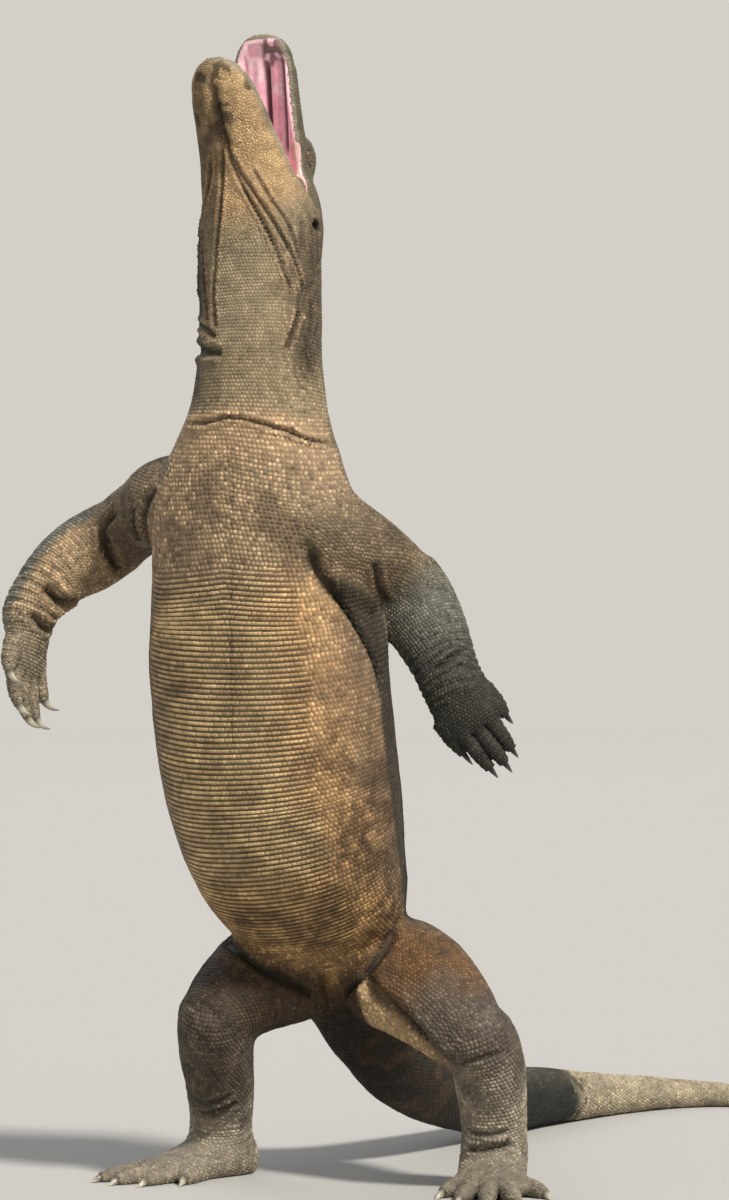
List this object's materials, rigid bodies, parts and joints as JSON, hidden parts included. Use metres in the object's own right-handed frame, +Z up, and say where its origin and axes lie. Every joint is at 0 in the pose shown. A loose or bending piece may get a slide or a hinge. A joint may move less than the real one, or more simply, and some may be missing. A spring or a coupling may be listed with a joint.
{
  "type": "komodo dragon standing on its hind legs",
  "caption": "Life-size Komodo dragon rearing upright with its jaws open, arms hanging, hind legs bent and its tail laid back along the floor",
  "frame": {"origin": "on the floor, under the middle of the bounding box", "axes": "+Z up along the reared body, -Y the way the belly faces, +X the animal's left"},
  "size_m": [0.8646, 1.2872, 1.4892],
  "materials": {
    "skin": "matte scaly skin, tan belly, brown flanks and thighs, grey forearms and feet",
    "claw": "dark horn, half gloss",
    "eye": "wet dark brown eye"
  },
  "bodies": {
    "root": {"belly": "skin", "chest": "skin", "claw_foot_left_1": "claw", "claw_foot_left_2": "claw", "claw_foot_left_3": "claw", "claw_foot_left_4": "claw", "claw_foot_left_5": "claw", "claw_foot_right_1": "claw", "claw_foot_right_2": "claw", "claw_foot_right_3": "claw", "claw_foot_right_4": "claw", "claw_foot_right_5": "claw", "claw_hand_left_1": "claw", "claw_hand_left_2": "claw", "claw_hand_left_3": "claw", "claw_hand_left_4": "claw", "claw_hand_left_5": "claw", "claw_hand_right_1": "claw", "claw_hand_right_2": "claw", "claw_hand_right_3": "claw", "claw_hand_right_4": "claw", "claw_hand_right_5": "claw", "eye_left": "eye", "eye_right": "eye", "foot_left": "skin", "foot_right": "skin", "forearm_left": "skin", "forearm_right": "skin", "hand_left": "skin", "hand_right": "skin", "head": "skin", "lower_jaw": "skin", "neck": "skin", "shin_left": "skin", "shin_right": "skin", "tail_base": "skin", "tail_middle": "skin", "tail_tip": "skin", "thigh_left": "skin", "thigh_right": "skin", "upper_arm_left": "skin", "upper_arm_right": "skin"}
  },
  "joints": []
}
